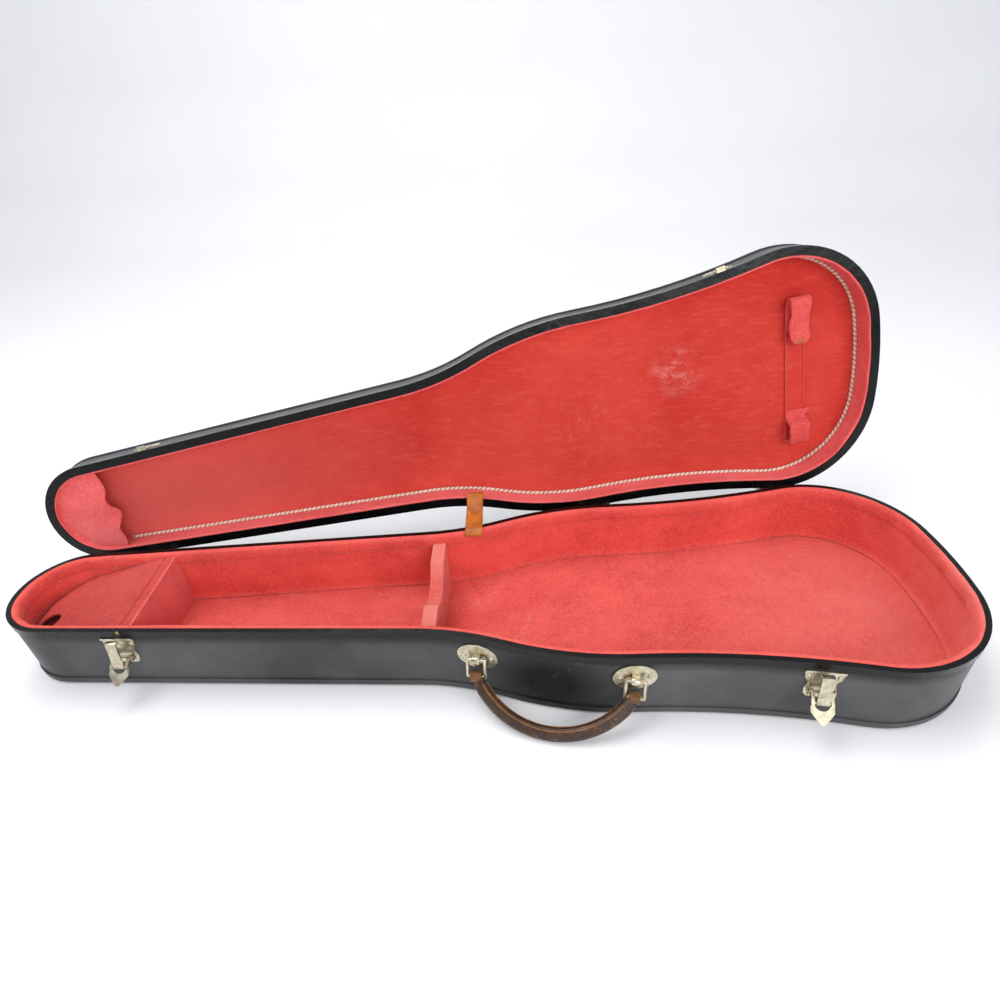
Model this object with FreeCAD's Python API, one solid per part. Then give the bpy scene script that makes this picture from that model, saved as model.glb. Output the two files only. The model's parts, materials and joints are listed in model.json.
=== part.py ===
"""Open shaped case for a violin: a wooden base and a hinged lid with cloth linings.

Millimetres. +X runs from the scroll (nose) end to the butt end, +Y towards the hinges,
+Z up from the underside. The origin is under the middle of the case on its long axis.
The lid is drawn closed and then swung open about the hinge line.
"""
import FreeCAD, Part
import math
import os

V = FreeCAD.Vector
UP = V(0, 0, 1)

# ---- driving dimensions ------------------------------------------------------------
LENGTH = 800.0
BASE_HEIGHT = 66.0
LID_HEIGHT = 34.0
RIM_GAP = 0.4            # between the two closed rims
WALL = 4.5
BOARD = 8.0              # bottom board and lid board
BOARD_OVERHANG = 1.2
BINDING_TALL = 7.0
BINDING_PROUD = 1.0
BASE_CAP = 3.0           # wall top that the base binding covers; the lining rolls over the rest
LID_CAP = 6.8            # the lid's binding also covers the edge of its lining
SOFT_GAP = 0.1           # between a lining and what it is glued to

# plan outline: arcs of the half shape, u is measured from the nose end
NOSE_R = 47.6
FLARE_DEG = 2.5          # the neck sides open by this much
SHOULDER_R = 234.0       # hollow between neck and upper bout
UPPER_U = 524.6
UPPER_HALF = 93.0
UPPER_R = 279.0
WAIST_R = 776.0          # hollow between the bouts
LOWER_HALF = 113.0
LOWER_R = 84.0
BUTT_R = 341.0

# hinge line
HINGE_OUT = 2.4          # pin centre outside the widest points of the back wall
HINGE_DROP_NOSE = 22.0   # pin centre below the rim at u = 50
HINGE_DROP_BUTT = 11.0   # and at u = 700
OPEN_DEG = 101.6
HINGE_U = {"nose": 78.0, "middle": 520.0, "butt": 700.0}
KNUCKLE_R = 2.2
PIN_R = 1.1
PIN_CLEAR = 0.05

# linings
LINING = 2.0
LIP_LINING = 2.8
LIP_TALL = 12.0
FLOOR_TOP = BOARD + 2.2

# inside the base
DIVIDER_U = 117.0        # accessory compartment front
DIVIDER_T = 7.0
PARTITION_U = 367.5      # padded neck partition
PARTITION_T = 8.0
PARTITION_TOP = 58.0
COMPARTMENT_TOP = 63.0
COMPARTMENT_SLOPE_DEG = 14.2
LID_PANEL_T = 5.0
FINGER_HOLE = (26.0, -14.0, 9.5)   # u, y, radius

# hardware
LATCH_U = {"nose": 112.5, "butt": 657.0}
HANDLE_U = (407.0, 525.0)
HANDLE_Z = 45.0
STRAP_U = 400.0
STRAP_WIDE = 16.0

out_nodes = {}


def x_of(u):
    return u - LENGTH / 2


# ---- plan outline ------------------------------------------------------------------
def unit(a, b):
    d = b - a
    return d.multiply(1 / d.Length)


def outline_arcs(inset):
    """Arcs of the +Y half from nose to butt as (centre, radius, start, end) tuples."""
    nose = V(x_of(NOSE_R), 0, 0)
    flare = math.radians(FLARE_DEG)
    along = V(math.cos(flare), math.sin(flare), 0)
    side = V(-math.sin(flare), math.cos(flare), 0)
    upper = V(x_of(UPPER_U), UPPER_HALF - UPPER_R, 0)
    butt = V(x_of(LENGTH - BUTT_R), 0, 0)
    lower_y = LOWER_HALF - LOWER_R
    lower = V(butt.x + math.sqrt((BUTT_R - LOWER_R) ** 2 - lower_y ** 2), lower_y, 0)

    # shoulder hollow: touches the flared side line and the upper bout circle
    start = nose + side * (NOSE_R + SHOULDER_R)
    q = start - upper
    b = q.dot(along)
    c = q.dot(q) - (SHOULDER_R + UPPER_R) ** 2
    shoulder = start + along * (-b - math.sqrt(b * b - c))

    # waist hollow: touches both bout circles from outside
    span = lower - upper
    r_a = UPPER_R + WAIST_R
    r_b = LOWER_R + WAIST_R
    t = (r_a ** 2 - r_b ** 2 + span.Length ** 2) / (2 * span.Length)
    axis = unit(upper, lower)
    waist = upper + axis * t + V(-axis.y, axis.x, 0) * math.sqrt(r_a ** 2 - t * t)

    to_upper = unit(shoulder, upper)
    up_waist = unit(upper, waist)
    low_waist = unit(lower, waist)
    out_butt = unit(butt, lower)
    r = NOSE_R - inset
    arcs = [(nose, r, V(-1, 0, 0), side)]
    arcs.append((shoulder, SHOULDER_R + inset, side * -1, to_upper))
    arcs.append((upper, UPPER_R - inset, to_upper * -1, up_waist))
    arcs.append((waist, WAIST_R + inset, up_waist * -1, low_waist * -1))
    arcs.append((lower, LOWER_R - inset, low_waist, out_butt))
    arcs.append((butt, BUTT_R - inset, out_butt, V(1, 0, 0)))
    return arcs


def half_points(inset):
    """Start, middle and end point of each arc of the +Y half."""
    rows = []
    for centre, r, a, b in outline_arcs(inset):
        mid = (a + b)
        mid = mid.multiply(1 / mid.Length)
        rows.append((centre + a * r, centre + mid * r, centre + b * r))
    return rows


def outline_wire(inset, z=0.0):
    """The closed outline, moved inwards by inset, at height z."""
    rows = half_points(inset)
    lift = V(0, 0, z)
    flip = lambda p: V(p.x, -p.y, p.z)
    nose_side = rows[0][2]
    butt_side = rows[-1][0]
    edges = [Part.Arc(flip(nose_side) + lift, rows[0][0] + lift, nose_side + lift).toShape()]
    edges.append(Part.makeLine(nose_side + lift, rows[1][0] + lift))
    for a, m, b in rows[1:-1]:
        edges.append(Part.Arc(a + lift, m + lift, b + lift).toShape())
    edges.append(Part.Arc(butt_side + lift, rows[-1][2] + lift, flip(butt_side) + lift).toShape())
    for a, m, b in reversed(rows[1:-1]):
        edges.append(Part.Arc(flip(b) + lift, flip(m) + lift, flip(a) + lift).toShape())
    edges.append(Part.makeLine(flip(rows[1][0]) + lift, flip(nose_side) + lift))
    return Part.Wire(edges)


def slab(inset, z0, z1):
    """Solid plate with the case outline."""
    return Part.Face(outline_wire(inset, z0)).extrude(UP * (z1 - z0))


def ring(outer, inner, z0, z1):
    """Wall that follows the outline between two insets."""
    face = Part.Face(outline_wire(outer, z0)).cut(Part.Face(outline_wire(inner, z0)))
    return face.Faces[0].extrude(UP * (z1 - z0))


def wall_half(side, z0, z1):
    """Bent wall pieces of one half, butted end to end along the outline."""
    outer = half_points(0)
    inner = half_points(WALL)
    pieces = []
    for (a0, m0, b0), (a1, m1, b1) in zip(outer, inner):
        edges = [Part.Arc(a0, m0, b0).toShape(), Part.makeLine(b0, b1)]
        edges += [Part.Arc(b1, m1, a1).toShape(), Part.makeLine(a1, a0)]
        pieces.append(Part.Wire(edges))
    corners = [outer[0][2], outer[1][0], inner[1][0], inner[0][2], outer[0][2]]
    pieces.append(Part.makePolygon(corners))
    solids = []
    for wire in pieces:
        solid = Part.Face(wire).extrude(UP * (z1 - z0))
        solid.translate(UP * z0)
        if side == "front":
            solid = solid.mirror(V(0, 0, 0), V(0, 1, 0))
        solids.append(solid)
    return Part.makeCompound(solids)


def half_width(u, inset=0.0):
    """Half width of the outline at station u, with the slope angle of the side there."""
    x = x_of(u)
    rows = outline_arcs(inset)
    flare_start = rows[0][0] + rows[0][3] * rows[0][1]
    flare_end = rows[1][0] + rows[1][2] * rows[1][1]
    if flare_start.x <= x <= flare_end.x:
        slope = math.radians(FLARE_DEG)
        return flare_start.y + (x - flare_start.x) * math.tan(slope), slope
    for centre, r, a, b in rows:
        ends = sorted((centre.x + a.x * r, centre.x + b.x * r))
        if ends[0] <= x <= ends[1]:
            rise = math.sqrt(r * r - (x - centre.x) ** 2)
            sign = 1 if a.y + b.y > 0 else -1
            return centre.y + sign * rise, math.atan2(-(x - centre.x) * sign, rise)
    raise ValueError("station off the outline")


# ---- small helpers -----------------------------------------------------------------
def box(x0, x1, y0, y1, z0, z1):
    return Part.makeBox(x1 - x0, y1 - y0, z1 - z0, V(x0, y0, z0))


def rod(p, direction, r, length):
    """Cylinder centred on p."""
    d = V(direction)
    d.normalize()
    return Part.makeCylinder(r, length, p - d * (length / 2), d)


def fuse(shapes):
    return shapes[0].fuse(list(shapes[1:])).removeSplitter()


def placed(shape, placement):
    return shape.transformed(placement.toMatrix(), True)


def prism(points, thickness):
    """Plate in the XZ plane, from y = 0 outwards by thickness along -Y."""
    wire = Part.makePolygon([V(x, 0, z) for x, z in points] + [V(points[0][0], 0, points[0][1])])
    return Part.Face(wire).extrude(V(0, -thickness, 0))


def front_place(u, z, outwards=0.0):
    """Placement on the front wall: local X along the wall, local -Y outwards, Z up."""
    y, slope = half_width(u)
    turn = FreeCAD.Rotation(UP, -math.degrees(slope))
    base = V(x_of(u), -y, z) + turn.multVec(V(0, -outwards, 0))
    return FreeCAD.Placement(base, turn)


def dome(x, z, r, y0, height):
    """Low round nail or screw head standing on the plane y = y0, facing -Y."""
    rim = Part.makeCylinder(r, height / 2, V(x, y0, z), V(0, -1, 0))
    cap = Part.makeCone(r, r * 0.55, height / 2, V(x, y0 - height / 2, z), V(0, -1, 0))
    return rim.fuse(cap)


def save(node, shape):
    out_nodes[node] = shape


# ---- hinge line --------------------------------------------------------------------
def hinge_axis():
    """A point on the hinge line and its direction."""
    arcs = outline_arcs(0)
    nose, nose_r = arcs[0][0], arcs[0][1]
    lower, lower_r = arcs[4][0], arcs[4][1]
    span = lower - nose
    heading = math.atan2(span.y, span.x) + math.asin((lower_r - nose_r) / span.Length)
    out = V(-math.sin(heading), math.cos(heading), 0)
    start = nose + out * (nose_r + HINGE_OUT)
    slope = (HINGE_DROP_NOSE - HINGE_DROP_BUTT) / 650.0
    start.z = BASE_HEIGHT - HINGE_DROP_NOSE + slope * (start.x - x_of(50.0))
    direction = V(1, math.tan(heading), slope)
    direction.normalize()
    return start, direction


HINGE_POINT, HINGE_DIR = hinge_axis()


def hinge_point(u):
    t = (x_of(u) - HINGE_POINT.x) / HINGE_DIR.x
    return HINGE_POINT + HINGE_DIR * t


def hinge_place(u):
    """Local X along the pin, local Y outwards from the back wall, Z up."""
    out = V(0, 0, 1).cross(HINGE_DIR)
    turn = FreeCAD.Rotation(HINGE_DIR, out, UP, "XZY")
    return FreeCAD.Placement(hinge_point(u), turn)


def opened(shape):
    s = shape.copy()
    s.rotate(HINGE_POINT, HINGE_DIR, -OPEN_DEG)
    return s


def save_lid(node, shape):
    save(node, opened(shape))


# ---- base shell --------------------------------------------------------------------
def rounded_board(z0, z1, round_low, radius):
    plate = slab(-BOARD_OVERHANG, z0, z1)
    level = z0 if round_low else z1
    edges = [e for e in plate.Edges if all(abs(v.Z - level) < 1e-6 for v in e.Vertexes)]
    return plate.makeFillet(radius, edges)


def base_shell():
    rim = BASE_HEIGHT
    save("base_bottom_panel", rounded_board(0, BOARD, True, 3.5))
    for side in ("front", "back"):
        save("base_side_wall_" + side, wall_half(side, BOARD, rim - 1))
    strip = ring(-BINDING_PROUD, 0, rim - BINDING_TALL, rim - 1)
    cap = ring(-BINDING_PROUD, BASE_CAP, rim - 1, rim)
    save("base_rim_binding", fuse([strip, cap]))


def base_linings():
    outer = WALL + SOFT_GAP
    lip_z = BASE_HEIGHT - LIP_TALL
    save("base_floor_lining", slab(outer, BOARD, FLOOR_TOP))
    save("base_wall_lining", ring(outer, outer + LINING, FLOOR_TOP, lip_z))
    lip = ring(outer, outer + LIP_LINING, lip_z, BASE_HEIGHT - 0.9)
    roll = ring(BASE_CAP + SOFT_GAP, outer + LIP_LINING, BASE_HEIGHT - 0.9, BASE_HEIGHT)
    save("base_lip_lining", fuse([lip, roll]))


INNER = WALL + SOFT_GAP + LIP_LINING + 0.3


def cross_panel(u, thick, z0, z1, inset=INNER):
    """Upright panel across the case, fitted between the linings."""
    x = x_of(u)
    return slab(inset, z0, z1).common(box(x - thick / 2, x + thick / 2, -150, 150, z0, z1))


def cradle_cut(u, z_low, z_top, half_open, thick):
    """Removes the rounded saddle for the instrument's neck."""
    x = x_of(u)
    deep = z_top - z_low
    r = (half_open ** 2 + deep ** 2) / (2 * deep)
    return Part.makeCylinder(r, thick + 4, V(x - thick / 2 - 2, 0, z_low + r), V(1, 0, 0))


def neck_partition():
    core = cross_panel(PARTITION_U, PARTITION_T, FLOOR_TOP, PARTITION_TOP - 2, INNER + 1)
    core = core.cut(cradle_cut(PARTITION_U, 44, PARTITION_TOP - 2, 26, 20))
    save("neck_partition", core)
    cover = cross_panel(PARTITION_U, PARTITION_T + 3.6, FLOOR_TOP, PARTITION_TOP)
    cover = cover.cut(cradle_cut(PARTITION_U, 46, PARTITION_TOP, 26, 20))
    hole = cross_panel(PARTITION_U, PARTITION_T, FLOOR_TOP - 1, PARTITION_TOP - 2, INNER + 1)
    hole = hole.cut(cradle_cut(PARTITION_U, 44, PARTITION_TOP - 2, 26, 20))
    save("neck_partition_cover", cover.cut(hole))


# ---- accessory compartment ---------------------------------------------------------
def compartment_pivot():
    """X and Z of the line that the compartment lid turns about."""
    x = x_of(DIVIDER_U - DIVIDER_T / 2) - 0.6 - LID_PANEL_T / 2
    return x, COMPARTMENT_TOP - LID_PANEL_T / 2


def compartment():
    x1 = x_of(DIVIDER_U + DIVIDER_T / 2)
    save("compartment_panel", cross_panel(DIVIDER_U, DIVIDER_T, FLOOR_TOP, COMPARTMENT_TOP))
    face = slab(INNER, FLOOR_TOP, COMPARTMENT_TOP)
    save("compartment_panel_cover", face.common(box(x1, x1 + 1.6, -150, 150, 0, 100)))

    # sloping lid with a rolled edge that turns along the crest of the panel
    pivot = V(compartment_pivot()[0], 0, compartment_pivot()[1])
    low_u = 10.0
    reach = pivot.x - x_of(low_u)
    plan = slab(INNER + 0.8, 0, 100)
    plan.translate(V(3.2, 0, 0))
    roll = Part.makeCylinder(LID_PANEL_T / 2, 200, V(0, -100, 0), V(0, 1, 0))
    top = LID_PANEL_T / 2
    hole_x = x_of(FINGER_HOLE[0])
    hole = Part.makeCylinder(FINGER_HOLE[2], 60, V(hole_x, FINGER_HOLE[1], 10), UP)

    def sloped(shape):
        tilted = shape.copy()
        tilted.rotate(V(0, 0, 0), V(0, 1, 0), -COMPARTMENT_SLOPE_DEG)
        tilted.translate(pivot)
        return tilted.common(plan).cut(hole)

    skin = box(-reach, 0, -100, 100, top - 1.8, top)
    save("compartment_lid_cover", sloped(skin.fuse(roll)).removeSplitter())
    core = box(-reach, 0, -100, 100, -top, top - 1.8).cut(roll)
    save("compartment_lid", sloped(core))

    # two cleats on the side walls carry the lid
    ledge = ring(INNER, INNER + 5, 0, 100)
    under = box(-400, 0, -100, 100, -top - 6.3, -top - 0.3)
    under.rotate(V(0, 0, 0), V(0, 1, 0), -COMPARTMENT_SLOPE_DEG)
    under.translate(pivot)
    span = box(x_of(30), x_of(88), -100, 100, 0, 100)
    save("compartment_cleats", ledge.common(under).common(span))


# ---- lid shell ---------------------------------------------------------------------
LID_RIM = BASE_HEIGHT + RIM_GAP
LID_TOP = LID_RIM + LID_HEIGHT
LID_BOARD = 6.0


def lid_shell():
    board_z = LID_TOP - LID_BOARD
    save_lid("lid_top_panel", rounded_board(board_z, LID_TOP, False, 3.5))
    for side in ("front", "back"):
        save_lid("lid_side_wall_" + side, wall_half(side, LID_RIM + 1, board_z))
    strip = ring(-BINDING_PROUD, 0, LID_RIM + 1, LID_RIM + BINDING_TALL)
    cap = ring(-BINDING_PROUD, LID_CAP, LID_RIM, LID_RIM + 1)
    save_lid("lid_rim_binding", fuse([strip, cap]))


POCKET_U = 57.0          # free edge of the bow-tip pocket
PANEL_FACE = LID_TOP - LID_BOARD - 2.0


def lid_linings():
    board_z = LID_TOP - LID_BOARD
    outer = WALL + SOFT_GAP
    save_lid("lid_top_lining", slab(outer, PANEL_FACE, board_z))
    save_lid("lid_wall_lining", ring(outer, outer + LINING, LID_RIM + 1.1, PANEL_FACE))
    cord_in = outer + LINING + 0.1
    cord = ring(cord_in, cord_in + 3.0, PANEL_FACE - 3.1, PANEL_FACE - 0.1)
    keep = box(x_of(POCKET_U - 5), 500, -200, 200, 0, 200)
    save_lid("lid_trim_cord", cord.common(keep))

    pocket_z = LID_RIM + 5.0
    pocket = slab(cord_in, pocket_z, pocket_z + 1.6)
    save_lid("bow_tip_pocket", pocket.common(box(-500, x_of(POCKET_U), -200, 200, 0, 200)))
    pipe = ring(cord_in, cord_in + 2.2, pocket_z - 2.4, pocket_z - 0.1)
    save_lid("bow_tip_pocket_piping", pipe.common(box(-500, x_of(POCKET_U), -200, 200, 0, 200)))


# ---- bow holder in the lid ---------------------------------------------------------
BOW_U = 733.0
FLAP_ROOT_Y = -59.0


def bow_holder():
    x = x_of(BOW_U)
    face = PANEL_FACE - 0.1
    save_lid("bow_strap_backing", box(x - 9, x + 9, -58, 77, face - 1.5, face))

    # keeper band, sewn down at both ends
    top = face - 1.6
    band = box(x - 9, x + 14, 43.5, 48, top - 1.4, top)
    save_lid("bow_keeper_band", band)

    # lower loop for a bow stick: a flat arch fixed at both ends
    save_lid("bow_loop", arch(x, 9.5, 53.0, 75.0, top, 11.0, 1.4))

    # upper flap: fixed at its far end by a fold, free rounded tip
    y = FLAP_ROOT_Y
    save_lid("bow_flap_fold", box(x - 9.5, x + 9.5, y - 9, y - 1.2, face - 14.0, face))
    root = V(x, y, face - 13.2)
    tip = [V(-9.5, 0, 0), V(-9.5, 27, 0), V(-4, 34, 0), V(4, 34, 0), V(9.5, 27, 0), V(9.5, 0, 0)]
    tongue = Part.Face(Part.makePolygon(tip + [tip[0]])).extrude(UP * 1.6)
    tongue.translate(root - UP * 0.8)
    save_lid("bow_flap", tongue.fuse(rod(root, V(1, 0, 0), 1.0, 19.0)))


def arch(x, half, y0, y1, z, rise, thick):
    """Strap loop along Y that stands away from the panel, open along X."""
    outer = box(x - half, x + half, y0, y1, z - rise - thick, z)
    inner = box(x - half - 1, x + half + 1, y0 + thick, y1 - thick, z - rise, z + 1)
    loop = outer.cut(inner)
    feet_a = box(x - half, x + half, y0 - 4, y0, z - thick, z)
    feet_b = box(x - half, x + half, y1, y1 + 2, z - thick, z)
    return fuse([loop, feet_a, feet_b])


# ---- hinges ------------------------------------------------------------------------
def hinge(name, u):
    place = hinge_place(u)
    spans = {"base": [(-15.0, -5.2), (5.2, 15.0)], "lid": [(-4.9, 4.9)]}
    drop = BASE_HEIGHT - hinge_point(u).z
    clear_base = fuse([slab(0, -5, BASE_HEIGHT - 1), slab(-BINDING_PROUD, 58, BASE_HEIGHT)])
    wall_lid = slab(-0.02, LID_RIM, LID_TOP - LID_BOARD)
    bind_lid = slab(-BINDING_PROUD - 0.02, BASE_HEIGHT - BINDING_TALL, LID_RIM + BINDING_TALL)
    board_lid = slab(-BOARD_OVERHANG - 0.02, LID_TOP - LID_BOARD, LID_TOP)
    bore = rod(V(0, 0, 0), V(1, 0, 0), PIN_R + PIN_CLEAR, 60)

    def barrel(pieces):
        return [rod(V((a + b) / 2, 0, 0), V(1, 0, 0), KNUCKLE_R, b - a) for a, b in pieces]

    low = box(-15, 15, -8, -1.0, -24, -0.4)
    webs = [box(a, b, -2.2, -1.0, -1.5, 0.6) for a, b in spans["base"]]
    base_leaf = fuse([low] + webs + barrel(spans["base"])).cut(bore)
    base_leaf = base_leaf.cut(rod(V(0, 0, 0), V(1, 0, 0), KNUCKLE_R + 0.2, 9.9 + 0.5))
    base_leaf = placed(base_leaf, place).cut(clear_base)
    save("hinge_base_leaf_" + name, biggest(base_leaf))

    tall = drop + RIM_GAP + 21.0
    strap = box(-4.9, 4.9, -8, 0.3, 0.5, drop - 6)
    plate = box(-15, 15, -8, 0.3, drop - BINDING_TALL + 0.5, tall)
    lid_leaf = fuse([plate, strap] + barrel(spans["lid"])).cut(bore)
    ends = [rod(V(s * 10.1, 0, 0), V(1, 0, 0), KNUCKLE_R + 0.25, 10.3) for s in (-1, 1)]
    for end in ends:
        lid_leaf = lid_leaf.cut(end)
    lid_leaf = placed(lid_leaf, place)
    for solid in (slab(-0.35, -5, BASE_HEIGHT), wall_lid, bind_lid, board_lid):
        lid_leaf = lid_leaf.cut(solid)
    save_lid("hinge_lid_leaf_" + name, biggest(lid_leaf))
    return place, drop


def biggest(shape):
    return max(shape.Solids, key=lambda s: s.Volume)


def hinges():
    pins = []
    base_screws = []
    lid_screws = []
    for name, u in HINGE_U.items():
        place, drop = hinge(name, u)
        pins.append(placed(rod(V(0, 0, 0), V(1, 0, 0), PIN_R, 30.6), place))
        for x, z in ((-10, -8), (10, -8), (0, -18)):
            base_screws.append(placed(back_head(x, z, 2.2, -0.98), place))
        for x, z in ((-10, 13), (10, 13), (0, 17)):
            head = placed(back_head(x, drop + z, 2.2, 0.32), place)
            lid_screws.append(opened(head))
    save("hinge_pins", Part.makeCompound(pins))
    save("hinge_base_screws", Part.makeCompound(base_screws))
    save("hinge_lid_screws", Part.makeCompound(lid_screws))


def back_head(x, z, r, y0):
    """Round screw head that stands on the plane y = y0, facing +Y."""
    head = dome(x, z, r, 0, 0.9)
    head = head.mirror(V(x, 0, z), V(0, 1, 0))
    head.translate(V(0, y0, 0))
    return head


# ---- latches -----------------------------------------------------------------------
PIVOT_Z = 39.5
PIVOT_OUT = 4.2
BARREL_R = 2.0
LATCH_PIN_R = 1.0
LINK_ARM = 8.0
LEVER_TILT = 55.0
HOOK_LONG = 23.9
HOOK_HALF = 4.4
HOOK_LEAN = 10.0


def mirrored(points):
    """Closed outline from the right half's points, listed from top to bottom."""
    return points + [(-x, z) for x, z in reversed(points)]


def latch(name, u):
    place = front_place(u, 0)
    z1 = BASE_HEIGHT - BINDING_TALL - 0.3
    pts = [(13.6, z1), (13.6, z1 - 3), (12.4, z1 - 9), (9.8, z1 - 12.5), (9.8, 43), (11.4, 39)]
    pts += [(10.6, 33), (8.0, 30)]
    plate = prism(mirrored(pts), 1.2)
    flange = box(-13.6, 13.6, -2.4, -1.0, z1 - 1.6, z1)
    ears = []
    for side in (-1, 1):
        x0 = side * 8.1
        x1 = x0 + side * 1.3
        ear = box(min(x0, x1), max(x0, x1), -6.4, -1.0, PIVOT_Z - 2.6, PIVOT_Z + 2.8)
        ears.append(ear)
    pin_at = V(0, -PIVOT_OUT, PIVOT_Z)
    plate = fuse([plate, flange] + ears).cut(rod(pin_at, V(1, 0, 0), LATCH_PIN_R, 30))
    plate = placed(plate, place).cut(slab(0, 0, 70))
    save("latch_plate_" + name, plate)
    save("latch_pin_" + name, placed(rod(pin_at, V(1, 0, 0), LATCH_PIN_R, 19.6), place))
    nails = [placed(dome(x, z1 - 6.2, 1.7, -1.2, 0.9), place) for x in (-10.4, 10.4)]

    lever, rivet, hook = latch_moving(pin_at)
    save("latch_lever_" + name, placed(lever, place))
    save("latch_rivet_" + name, placed(rivet, place))
    save("latch_hook_" + name, placed(hook, place))
    return nails


def latch_moving(pin_at):
    """Lever, link rivet and hook, hung on the plate's pin."""
    shield = [(7.0, -2.5), (7.8, -5.5), (7.2, -8.5), (8.2, -11.0), (8.0, -14.5), (1.2, -23.4)]
    lever = prism(mirrored(shield), 1.5)
    window = prism(mirrored([(5.2, 0), (5.2, -10.0), (4.0, -12.2), (1.6, -13.4)]), 4)
    window.translate(V(0, 1, 0))
    lever = lever.cut(window)
    barrels = []
    cheeks = []
    for side in (-1, 1):
        barrels.append(rod(V(side * 6.6, 0, 0), V(1, 0, 0), BARREL_R, 2.2))
        cheeks.append(box(side * 6.6 - 1.1, side * 6.6 + 1.1, -3.2, 0.9, -LINK_ARM - 1.8, -0.8))
    lever = fuse([lever] + barrels + cheeks)
    lever = lever.cut(rod(V(0, 0, 0), V(1, 0, 0), LATCH_PIN_R + PIN_CLEAR, 30))
    link_at = V(0, -1.6, -LINK_ARM)
    lever = lever.cut(rod(link_at, V(1, 0, 0), 0.9, 30))
    rivet = rod(link_at, V(1, 0, 0), 0.9, 15.8)
    tilt = FreeCAD.Placement(pin_at, FreeCAD.Rotation(V(1, 0, 0), -LEVER_TILT))
    lever = placed(lever, tilt)
    rivet = placed(rivet, tilt)
    link = tilt.multVec(link_at)

    # hook: strip with an eye at the link and an inward lip at its free end
    w = HOOK_HALF
    face = -0.1
    strip = box(-w, w, face - 1.5, face, 0, HOOK_LONG)
    lip = box(-w, w, face - 1.5, face + 3.0, HOOK_LONG - 1.4, HOOK_LONG)
    eye = rod(V(0, 0, 0), V(1, 0, 0), 1.8, 2 * w)
    hook = fuse([strip, lip, eye]).cut(rod(V(0, 0, 0), V(1, 0, 0), 0.9 + PIN_CLEAR, 30))
    lean = FreeCAD.Placement(link, FreeCAD.Rotation(V(1, 0, 0), -HOOK_LEAN))
    hook = placed(hook, lean)
    return lever, rivet, hook


def catch(name, u):
    """Plate on the lid's front wall with a neck over the binding and a small nub."""
    place = front_place(u, 0)
    z0 = LID_RIM + BINDING_TALL + 0.3
    plate = prism(mirrored([(8.5, z0 + 10), (13, z0 + 4.5), (13, z0)]), 1.2)
    neck = box(-4, 4, -2.3, 0, LID_RIM + 0.5, z0 + 5)
    nub = box(-4, 4, -5.4, -1.2, LID_RIM + 0.5, LID_RIM + 1.9)
    body = placed(fuse([plate, neck, nub]), place)
    body = body.cut(slab(-BINDING_PROUD, LID_RIM - 1, LID_RIM + BINDING_TALL))
    body = body.cut(slab(0, LID_RIM - 1, LID_TOP))
    save_lid("catch_" + name, body)
    nails = [placed(dome(x, z0 + 3.5, 1.7, -1.2, 0.9), place) for x in (-9.0, 9.0)]
    return [opened(n) for n in nails]


def latches():
    nails = []
    catch_nails = []
    for name, u in LATCH_U.items():
        nails += latch(name, u)
        catch_nails += catch(name, u)
    save("latch_nails", Part.makeCompound(nails))
    save("catch_nails", Part.makeCompound(catch_nails))


# ---- handle ------------------------------------------------------------------------
LUG_OUT = 5.0
LINK_DROP = 16.0
WIRE_R = 1.5
LINK_TILT = 10.0
GRIP_SAG = 34.5
GRIP_TILT = 48.0
GRIP_HIGH = 13.0
GRIP_THICK = 9.0


def handle_ends():
    ends = []
    for u in HANDLE_U:
        ends.append(front_place(u, HANDLE_Z, LUG_OUT).Base)
    return ends


def handle_place():
    """Local X along the swing axis, local -Y outwards; origin midway between the lugs."""
    a, b = handle_ends()
    middle = (a + b) * 0.5
    turn = FreeCAD.Rotation(UP, math.degrees(math.atan2(b.y - a.y, b.x - a.x)))
    return FreeCAD.Placement(middle, turn), (b - a).Length


def handle():
    place, span = handle_place()
    nails = []
    for name, u, side in (("left", HANDLE_U[0], -1), ("right", HANDLE_U[1], 1)):
        x = side * span / 2
        on_wall = front_place(u, HANDLE_Z)
        disc = Part.makeCylinder(13.0, 1.5, V(0, 0, 0), V(0, -1, 0))
        oval = disc.transformGeometry(scale_x(16.5 / 13.0))
        plate = placed(oval, on_wall)
        lug = rod(V(x, 0, 0), V(1, 0, 0), 3.4, 6.0)
        root = box(x - 3.0, x + 3.0, 0, LUG_OUT + 1.5, -3.4, 3.4)
        lug = placed(fuse([lug, root]), place)
        plate = plate.fuse(lug).cut(slab(0, 0, 70)).removeSplitter()
        hole = placed(rod(V(x, 0, 0), V(1, 0, 0), WIRE_R + 0.08, 9.0), place)
        save("handle_plate_" + name, plate.cut(hole))
        for z in (-1.0, 1.0):
            nails.append(placed(dome(z * 11.0, 0, 2.0, -1.5, 0.9), on_wall))
        save("handle_link_" + name, placed(hung(link_ring(x), LINK_TILT, 0), place))
    save("handle_nails", Part.makeCompound(nails))

    leather, liners = grip(span / 2)
    save("handle_grip", placed(hung(leather, GRIP_TILT, LINK_DROP), place))
    save("handle_eyelets", placed(hung(liners, GRIP_TILT, LINK_DROP), place))


def scale_x(k):
    m = FreeCAD.Matrix()
    m.A11 = k
    return m


def hung(shape, tilt, below):
    """Tilts a piece outwards about X; grips hang from the lower bar of the tilted links."""
    s = shape.copy()
    s.rotate(V(0, 0, 0), V(1, 0, 0), -tilt)
    if below:
        a = math.radians(LINK_TILT)
        s.translate(V(0, -below * math.sin(a), -below * math.cos(a)))
    return s


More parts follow.
